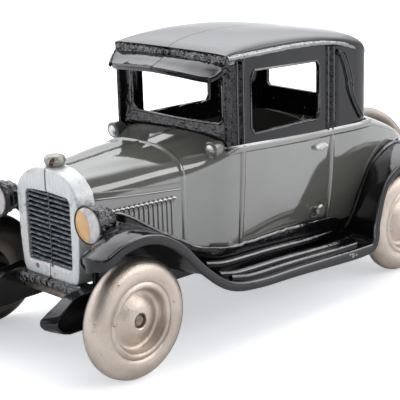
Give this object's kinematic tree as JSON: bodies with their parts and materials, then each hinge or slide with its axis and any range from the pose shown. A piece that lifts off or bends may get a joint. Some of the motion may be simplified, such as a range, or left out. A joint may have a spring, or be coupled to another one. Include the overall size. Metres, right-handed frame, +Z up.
{
  "type": "toy coupe",
  "caption": "Cast iron toy coupe with half castings joined at a centre seam, free-turning wheels and a rear spare wheel.",
  "frame": {"origin": "on the floor under the middle of the car", "axes": "+X toward the front of the car, +Y toward its left side, +Z up"},
  "size_m": [0.2162, 0.0986, 0.1093],
  "materials": {
    "grey_enamel": "gloss",
    "black_enamel": "gloss",
    "aluminium_paint": "satin",
    "nickel": "satin",
    "steel": "satin"
  },
  "bodies": {
    "car": {"body_half_left": "grey_enamel", "body_half_right": "grey_enamel", "body_rivet": "grey_enamel", "cab_half_left": "black_enamel", "cab_half_right": "black_enamel", "fender_left": "black_enamel", "fender_right": "black_enamel", "frame_half_left": "black_enamel", "frame_half_right": "black_enamel", "frame_rivet": "black_enamel", "headlamp_left": "black_enamel", "headlamp_right": "black_enamel", "radiator_half_left": "aluminium_paint", "radiator_half_right": "aluminium_paint", "radiator_cap": "nickel", "cowl_lamp_left": "nickel", "cowl_lamp_right": "nickel", "spare_wheel_stud": "steel"},
    "axle_front": {"axle_front": "steel"},
    "axle_rear": {"axle_rear": "steel"},
    "spare_wheel": {"spare_wheel": "nickel"},
    "wheel_front_left": {"wheel_front_left": "nickel"},
    "wheel_front_right": {"wheel_front_right": "nickel"},
    "wheel_rear_left": {"wheel_rear_left": "nickel"},
    "wheel_rear_right": {"wheel_rear_right": "nickel"}
  },
  "joints": [
    {"name": "axle_front_turn", "type": "hinge", "parent": "car", "child": "axle_front", "pos_m": [0.085, 0, 0.022], "axis": [0, 1, 0], "continuous": true},
    {"name": "wheel_front_left_turn", "type": "hinge", "parent": "axle_front", "child": "wheel_front_left", "pos_m": [0.085, 0.0419, 0.022], "axis": [0, 1, 0], "continuous": true},
    {"name": "wheel_front_right_turn", "type": "hinge", "parent": "axle_front", "child": "wheel_front_right", "pos_m": [0.085, -0.0419, 0.022], "axis": [0, 1, 0], "continuous": true},
    {"name": "axle_rear_turn", "type": "hinge", "parent": "car", "child": "axle_rear", "pos_m": [-0.07, 0, 0.022], "axis": [0, 1, 0], "continuous": true},
    {"name": "wheel_rear_left_turn", "type": "hinge", "parent": "axle_rear", "child": "wheel_rear_left", "pos_m": [-0.07, 0.0419, 0.022], "axis": [0, 1, 0], "continuous": true},
    {"name": "wheel_rear_right_turn", "type": "hinge", "parent": "axle_rear", "child": "wheel_rear_right", "pos_m": [-0.07, -0.0419, 0.022], "axis": [0, 1, 0], "continuous": true},
    {"name": "spare_wheel_turn", "type": "hinge", "parent": "car", "child": "spare_wheel", "pos_m": [-0.1031, 0, 0.0385], "axis": [1, 0, 0], "continuous": true}
  ]
}
